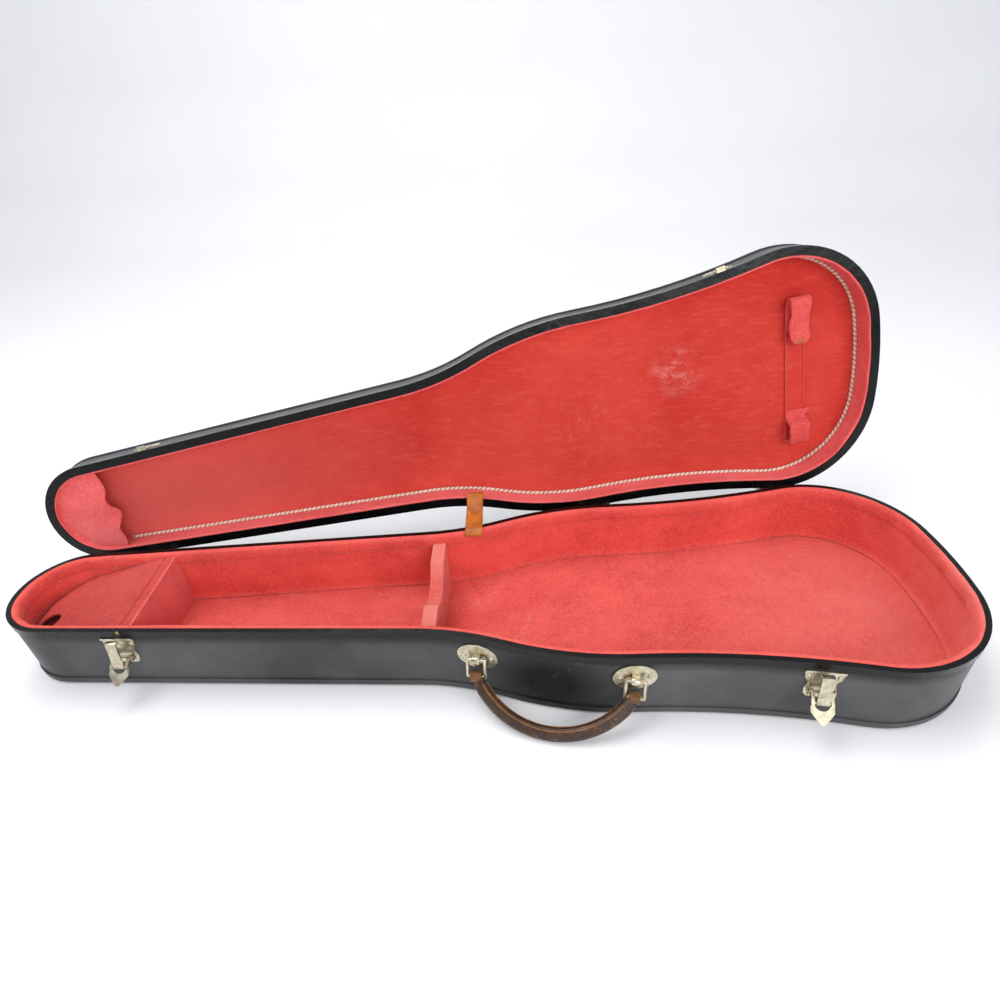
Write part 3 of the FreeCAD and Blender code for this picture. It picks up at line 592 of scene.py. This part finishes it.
# ---- seams: thin rolls of thread along the linings -------------------------------------
def tube(path, radius, sides=6, closed=False):
    """Points and faces of a round tube along a path (mm)."""
    path = np.asarray(path, float)
    n = len(path)
    if closed:
        tangent = np.roll(path, -1, axis=0) - np.roll(path, 1, axis=0)
    else:
        tangent = np.gradient(path, axis=0)
    tangent /= np.linalg.norm(tangent, axis=1)[:, None]
    ref = np.array([0.13, 0.21, 0.97])
    if abs(tangent[0] @ ref) > 0.9:
        ref = np.array([0.97, 0.13, 0.21])
    side = ref - tangent[0] * (ref @ tangent[0])
    co = []
    for k in range(n):
        side = side - tangent[k] * (side @ tangent[k])
        side /= np.linalg.norm(side)
        other = np.cross(tangent[k], side)
        for j in range(sides):
            a = 2 * math.pi * j / sides
            co.append(path[k] + (side * math.cos(a) + other * math.sin(a)) * radius)
    faces = grid_faces(n, sides, wrap=True)
    if closed:
        last = (n - 1) * sides
        for j in range(sides):
            k = (j + 1) % sides
            faces.append((last + j, last + k, k, j))
    else:
        faces.append(tuple(range(sides))[::-1])
        faces.append(tuple((n - 1) * sides + j for j in range(sides)))
    return np.array(co), faces


def joined(parts):
    """One point list and face list from several."""
    co, faces, start = [], [], 0
    for c, f in parts:
        co.append(c)
        faces += [tuple(i + start for i in face) for face in f]
        start += len(c)
    return np.vstack(co), faces


def ring_path(inset, z):
    """The outline moved in by inset, at height z."""
    ring = OUT_P + OUT_N * inset
    return np.column_stack([ring, np.full(len(ring), z)])


LIP_SEAM = (7.35, 54.0)
FLOOR_SEAM = (10.2, 10.9)
seam = ring_path(*LIP_SEAM)
seam[:, 2] += wobble(seam, 30.0, 11) * 0.35
co, faces = tube(seam, 0.3, closed=True)
make("base_lip_seam", co, faces, SEAM, "base")
foot = ring_path(*FLOOR_SEAM)
foot[:, :2] += OUT_N * (wobble(foot, 22.0, 12) * 0.7)[:, None]
co, faces = tube(foot, 0.35, closed=True)
make("base_floor_seam", co, faces, SEAM, "base")


# ---- twisted trim cord in the lid ------------------------------------------------------
CORD_INSET = 8.3
CORD_FROM_X = -350
CORD_PITCH = 4.6
STRAND_R = 0.92
STRAND_OFF = 0.82


def trim_cord():
    """Two strands wound round each other along the lid's board, open at the nose."""
    ring = OUT_P + OUT_N * CORD_INSET
    keep = np.where(ring[:, 0] > CORD_FROM_X)[0]
    path = ring[keep]
    steps = np.concatenate([[0], np.cumsum(np.linalg.norm(np.diff(path, axis=0), axis=1))])
    total = steps[-1]
    count = int(total / 0.55)
    s = np.linspace(0, total, count)
    x = np.interp(s, steps, path[:, 0])
    y = np.interp(s, steps, path[:, 1])
    base = np.column_stack([x, y, np.full(count, PANEL - 1.5)])
    base[:, 2] += wobble(base, 40, 21) * 0.25
    tangent = np.gradient(base, axis=0)
    tangent /= np.linalg.norm(tangent, axis=1)[:, None]
    up = np.array([0, 0, 1.0])
    side = np.cross(tangent, up)
    for k, mat in ((0, WHITE), (1, MAUVE)):
        turn = 2 * math.pi * s / CORD_PITCH + math.pi * k
        sideways = side * (np.cos(turn) * STRAND_OFF)[:, None]
        upwards = up * (np.sin(turn) * STRAND_OFF)[:, None]
        line = base + sideways + upwards
        c, f = tube(line, STRAND_R, sides=7)
        obj = make("trim_cord_strand_%d" % k, turned(c), f, mat, "lid")
        if k == 0:
            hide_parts("lid_trim_cord")


trim_cord()


# ---- bow-tip pocket --------------------------------------------------------------------
POCKET_INSET = 7.2
POCKET_LONG = 58
POCKET_SKEW = 3.5
POCKET_START = 7.6
PIPING_X = -352


def pocket():
    """Cloth pocket over the lid's nose, its free edge waved, and the piping round it."""
    rows, cols = 46, 61
    co = []
    face_z = LID_RIM + 5.2
    for i in range(rows):
        s = i / (rows - 1)
        for j in range(cols):
            t = -1 + 2 * j / (cols - 1)
            edge = POCKET_LONG - POCKET_SKEW * t + 2.6 * math.sin(2.6 * t + 0.6)
            edge += 1.7 * math.sin(8.5 * t + 0.4)
            u = POCKET_START + (edge - POCKET_START) * math.sin(s * math.pi / 2)
            w = half_width(u - LONG_HALF, POCKET_INSET)
            free = s ** 3
            bulge = -1.6 * math.sin(math.pi * s) * (1 - t * t)
            wave = free * (1 - t * t) * (2.8 * math.sin(6.2 * t + 0.4) + 1.6 * math.sin(11 * t))
            z = face_z + bulge + wave + 0.8 * (1 - abs(t)) * free
            co.append((u - LONG_HALF, t * w, z))
    faces = grid_faces(rows, cols)
    obj = make("bow_tip_pocket_cloth", turned(co), faces, PLUSH_LID, "lid")
    thicken(obj, 1.4)
    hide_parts("bow_tip_pocket")
    rim = ring_path(8.4, LID_RIM + 4.4)
    n = len(rim)
    order = [k % n for k in range(n - 40, n + 41)]
    path = [rim[k] for k in order if rim[k][0] < PIPING_X]
    c, f = tube(turned(path), 1.0, sides=8)
    pipe = make("bow_tip_pocket_edge", c, f, PLUSH_LID, "lid")
    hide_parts("bow_tip_pocket_piping")


pocket()


# ---- straps as ribbons -----------------------------------------------------------------
def smooth_path(points, count):
    """Even points on a Catmull-Rom curve through the given ones."""
    p = np.array([points[0]] + list(points) + [points[-1]], float)
    fine = []
    for k in range(len(points) - 1):
        a, b, c, d = p[k], p[k + 1], p[k + 2], p[k + 3]
        for t in np.linspace(0, 1, 24, endpoint=False):
            square = (2 * a - 5 * b + 4 * c - d) * t * t
            cube = (3 * b - a - 3 * c + d) * t ** 3
            fine.append(0.5 * (2 * b + (c - a) * t + square + cube))
    fine.append(p[-2])
    fine = np.array(fine)
    s = np.concatenate([[0], np.cumsum(np.linalg.norm(np.diff(fine, axis=0), axis=1))])
    even = np.linspace(0, s[-1], count)
    places = [np.interp(even, s, fine[:, i]) for i in range(fine.shape[1])]
    return np.column_stack(places), s[-1]


def ribbon(
    name, x, points, half, thick, mat, body,
    lid=True, count=60, cross=9, shape=None, curl=0.0,
):
    """Strap whose (y, z) path runs at station x, with width along X.

    half is its half width, shape scales that along it and curl lifts its edges.
    Returns the object and the length of its path.
    """
    line, length = smooth_path(points, count)
    co = []
    for k, (y, z) in enumerate(line):
        t = k / (count - 1)
        w = half if shape is None else half * shape(t)
        for j in range(cross):
            v = -1 + 2 * j / (cross - 1)
            co.append((x + v * w, y, z + curl * v * v))
    co = np.array(co)
    co[:, 0] += wobble(co, 9.0, 31) * 0.3
    if lid:
        co = turned(co)
    obj = make(name, co, grid_faces(count, cross), mat, body)
    thicken(obj, thick)
    return obj, length


FACE = PANEL - 0.1
STRAP_HALF, STRAP_THICK = 9.5, 1.7


def below_face(points):
    """(y, depth under the lid's board) pairs as (y, z)."""
    return [(y, FACE - deep) for y, deep in points]


fold_pts = below_face([
    (-36, 2.6), (-50, 3.4), (-61, 4.4), (-66.2, 7.6), (-65.6, 11.6), (-61.6, 13.4), (-59.0, 13.4),
])
fold, fold_long = ribbon(
    "bow_strap_fold", BOW_X, fold_pts, STRAP_HALF, STRAP_THICK, PLUSH_STRAP, "lid"
)
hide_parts("bow_flap_fold")


def flap_shape(t):
    """Width along the flap: a waist, a fuller end and a rounded tip."""
    if t > 0.8:
        return 0.3 + 0.65 * math.sqrt(max(0.0, 1 - ((t - 0.8) / 0.2) ** 2))
    return 0.95 - 0.1 * math.sin(math.pi * min(1, t / 0.45)) ** 2


flap_pts = below_face([
    (-59.4, 13.4), (-52, 12.6), (-44, 10.2), (-38, 10.4), (-31, 12.6), (-25, 13.2),
])
flap, flap_long = ribbon(
    "bow_strap_flap", BOW_X, flap_pts, STRAP_HALF, 1.8, PLUSH_FLAP, "bow_flap",
    shape=flap_shape, curl=0.5,
)
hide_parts("bow_flap")
loop_pts = below_face([
    (48, 2.6), (51.5, 4.4), (54.5, 10.6), (57.0, 13.2), (63, 13.9), (69, 13.6),
    (74.0, 11.6), (75.4, 7.5), (75.2, 4.0), (74.4, 2.4),
])
bow_loop, loop_long = ribbon(
    "bow_strap_loop", BOW_X, loop_pts, 9.6, STRAP_THICK, PLUSH_STRAP, "lid", count=80
)
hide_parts("bow_loop")
edges = []
for dx in (-8.6, 8.6):
    edge = [(BOW_X + dx, y, FACE - 1.9) for y in np.linspace(-58, 76, 60)]
    edges.append(tube(edge, 0.5))
co, faces = joined(edges)
make("bow_strap_edges", turned(co), faces, PLUSH_STRAP, "lid")


# ---- stay strap ------------------------------------------------------------------------
STAY_HALF, STAY_THICK = 8.0, 1.6
STAY_INSET = 7.7
STAY_GAP = 0.4


def stay():
    """Leather strap from the base's wall over both rims to the lid's wall."""
    lo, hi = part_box("stay_strap")
    x = (lo[0] + hi[0]) / 2 / MM
    wall = half_width(x - STAY_HALF, STAY_INSET) - STAY_GAP - STAY_THICK / 2
    end = turned([[x, wall + STAY_THICK / 2, LID_RIM + 3.0]])[0]
    points = [
        (wall, 63.4),
        (wall, 64.1),
        (wall + 0.3, 65.2),
        (wall + 1.6, 66.9),
        (wall + 5.0, 68.4),
        ((wall + 5.0 + end[1]) / 2, 68.9),
        (end[1] - 3.4, end[2] + 2.3),
        (end[1] - 1.0, end[2] + 2.3),
        (end[1] + 0.8, end[2] + 2.0),
    ]
    strap, length = ribbon(
        "stay_strap_leather", x, points, STAY_HALF, STAY_THICK, TAN, None,
        lid=False, count=90, cross=11, curl=-0.25,
    )
    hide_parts("stay_strap")
    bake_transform(strap)


stay()


# ---- leather grip ----------------------------------------------------------------------
GRIP = JOINTS["grip_pivot"]
GRIP_P = np.array(GRIP["pos_m"]) * 1000
EX = unit(np.array(GRIP["axis"]))
OUTW = unit(np.array([EX[1], -EX[0], 0.0]))
GRIP_TILT = math.radians(48.0)
E2 = OUTW * math.sin(GRIP_TILT) + np.array([0, 0, -math.cos(GRIP_TILT)])
E3 = np.cross(EX, E2)
SAG = 34.5


def grip_half():
    """Half the distance between the two link bars."""
    lo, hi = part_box("handle_link_left")
    a = (Vector(lo) + Vector(hi)) / 2
    lo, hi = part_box("handle_link_right")
    b = (Vector(lo) + Vector(hi)) / 2
    return (b - a).length / 2 / MM


HALF = grip_half()
ARC_R = (HALF * HALF + SAG * SAG) / (2 * SAG)
SEAM_ROLL = math.radians(38.0)  # the stitched ridge leans out of the grip's plane
END_GAP = 0.045
TAPER_FROM, TAPER_LONG = 0.86, 0.14
SHIFT, DEEP, WIDE = 1.2, 4.8, 4.3
RIDGE_FROM, RIDGE_DEEP, RIDGE_WIDE = 0.25, 2.6, 1.9
STITCH_STEP = 3.4


def on_grip(a, radial, out):
    """Point at angle a along the grip, radial (outwards) and sideways from its middle line."""
    r = ARC_R + radial * math.cos(SEAM_ROLL) - out * math.sin(SEAM_ROLL)
    out = radial * math.sin(SEAM_ROLL) + out * math.cos(SEAM_ROLL)
    return GRIP_P + EX * (math.sin(a) * r) + E2 * (math.cos(a) * r - ARC_R + SAG) + E3 * out


def grip_section(q):
    """Radial and sideways place round the section: oval, with the stitched ridge on its inner side."""
    c, s = math.cos(q), math.sin(q)
    if c >= -RIDGE_FROM:
        return SHIFT + DEEP * c, WIDE * s
    f = (-c - RIDGE_FROM) / (1 - RIDGE_FROM)
    radial = SHIFT - DEEP * (RIDGE_FROM + (1 - RIDGE_FROM) * f) - RIDGE_DEEP * f
    if f >= 1:
        return radial, 0
    shoulder = WIDE * (1 - f) ** 0.6 * 0.5
    ridge = RIDGE_WIDE * (1 - max(0, f - 0.8) / 0.2) ** 0.5
    return radial, math.copysign(shoulder + ridge, s)


def grip():
    """The stitched leather grip, its end loops round the wire links, its welts and its thread."""
    reach = math.asin(HALF / ARC_R) - END_GAP
    n, m = 150, 40
    co = []
    for k in range(n):
        t = -1 + 2 * k / (n - 1)
        a = t * reach
        end = max(0.0, (abs(t) - TAPER_FROM) / TAPER_LONG)
        slim = 1 - 0.42 * end ** 1.5
        for j in range(m):
            radial, side = grip_section(2 * math.pi * j / m)
            co.append(on_grip(a, radial * (0.75 + 0.25 * slim), side * slim))
    co = np.array(co)
    co += np.outer(wobble(co, 9.0, 41) * 0.18, E3)
    faces = grid_faces(n, m, wrap=True)
    faces += [tuple(range(m)), tuple((n - 1) * m + j for j in range(m))]
    body = make("handle_grip_leather", co, faces, BROWN, "handle_grip")
    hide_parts("handle_grip")
    loops, welts, thread = [], [], []
    for s in (-1, 1):
        mid = GRIP_P + EX * (s * HALF)
        rows = []
        for k in range(33):
            q = 2 * math.pi * k / 32
            for v in np.linspace(-4.4, 4.4, 7):
                around = E2 * math.cos(q) + E3 * math.sin(q)
                rows.append(mid + EX * v + around * 3.5)
        loops.append((np.array(rows), grid_faces(33, 7)))
    stitch = np.linspace(-0.85, 0.85, 5) / ARC_R
    for side in (-1, 1):
        along = np.linspace(-reach * 0.93, reach * 0.93, 120)
        path = [on_grip(a, -5.2, side * 2.3) for a in along]
        welts.append(tube(path, 0.55, sides=6))
        for a in np.arange(-reach * 0.9, reach * 0.9, STITCH_STEP / ARC_R):
            line = []
            for i, d in enumerate(stitch):
                out = side * (2.75 - 0.25 * abs(i - 2))
                line.append(on_grip(a + d, -3.5, out))
            thread.append(tube(line, 0.38, sides=5))
    c, f = joined(loops)
    ends = make("handle_grip_ends", c, f, LOOP, "handle_grip")
    thicken(ends, 1.9)
    c, f = joined(welts)
    make("handle_grip_welts", c, f, EDGE, "handle_grip")
    c, f = joined(thread)
    make("handle_grip_stitches", c, f, THREAD, "handle_grip")


grip()


# ---- softer edges on the CAD hardware --------------------------------------------------
HARDWARE = ("latch_", "catch_", "handle_plate", "hinge_base_leaf", "hinge_lid_leaf")
for name, obj in NODES.items():
    if name.startswith(HARDWARE):
        w = obj.modifiers.new("weld", "WELD")
        w.merge_threshold = 0.00001
        b = obj.modifiers.new("bevel", "BEVEL")
        b.width = 0.00025
        b.segments = 2
        b.limit_method = "ANGLE"
        b.angle_limit = math.radians(40)
        b.use_clamp_overlap = True


# ---- stage, light and camera -----------------------------------------------------------
PAPER_HALF = 4.0
PAPER = [(-2.4, 0.0), (1.0, 0.0), (1.3, 0.03), (1.55, 0.16), (1.7, 0.4), (1.78, 1.0), (1.8, 3.0)]


def stage():
    """A paper sweep: floor, curve and wall, in metres."""
    mat = paper_material()
    co, faces = [], []
    for y, z in PAPER:
        co += [(-PAPER_HALF, y, z), (PAPER_HALF, y, z)]
    for k in range(len(PAPER) - 1):
        faces.append((2 * k, 2 * k + 1, 2 * k + 3, 2 * k + 2))
    mesh = bpy.data.meshes.new("paper_sweep")
    mesh.from_pydata(co, [], faces)
    mesh.polygons.foreach_set("use_smooth", [True] * len(faces))
    mesh.materials.append(mat)
    obj = bpy.data.objects.new("paper_sweep", mesh)
    bpy.context.scene.collection.objects.link(obj)


def area(name, place, target, size, watts):
    """Rectangular lamp at place, aimed at target."""
    light = bpy.data.lights.new(name, "AREA")
    light.shape = "RECTANGLE"
    light.size, light.size_y = size
    light.energy = watts
    obj = bpy.data.objects.new(name, light)
    obj.location = place
    obj.rotation_euler = (Vector(target) - Vector(place)).to_track_quat("-Z", "Y").to_euler()
    bpy.context.scene.collection.objects.link(obj)


CAMERA_AT = (0.0490, -0.3911, 0.4259)


def camera():
    """The photograph's point of view."""
    yaw, pitch, roll = 0.0501, 0.6239, -0.0702
    fwd = Vector((-math.sin(yaw) * math.cos(pitch), math.cos(yaw) * math.cos(pitch), -math.sin(pitch)))
    right = Vector((math.cos(yaw), math.sin(yaw), 0))
    up = right.cross(fwd)
    r2 = right * math.cos(roll) + up * math.sin(roll)
    u2 = up * math.cos(roll) - right * math.sin(roll)
    m = Matrix.Identity(4)
    for i in range(3):
        m[i][0], m[i][1], m[i][2] = r2[i], u2[i], -fwd[i]
    m.translation = Vector(CAMERA_AT)
    cam = bpy.data.cameras.new("view")
    cam.lens = 22.33
    cam.sensor_width = 36
    cam.clip_start = 0.01
    obj = bpy.data.objects.new("view", cam)
    obj.matrix_world = m
    bpy.context.scene.collection.objects.link(obj)
    bpy.context.scene.camera = obj


stage()
area("key", (-0.5, 0.3, 1.7), (0.0, 0.0, 0.0), (1.6, 1.0), 21)
area("fill", (0.7, -1.4, 0.9), (0.0, 0.0, 0.05), (1.4, 0.9), 17)
camera()
world = bpy.data.worlds.new("soft")
world.use_nodes = True
sky = world.node_tree.nodes["Background"]
sky.inputs["Color"].default_value = (0.92, 0.95, 1.0, 1)
sky.inputs["Strength"].default_value = 0.62
scene = bpy.context.scene
scene.world = world
scene.view_settings.view_transform = "Standard"
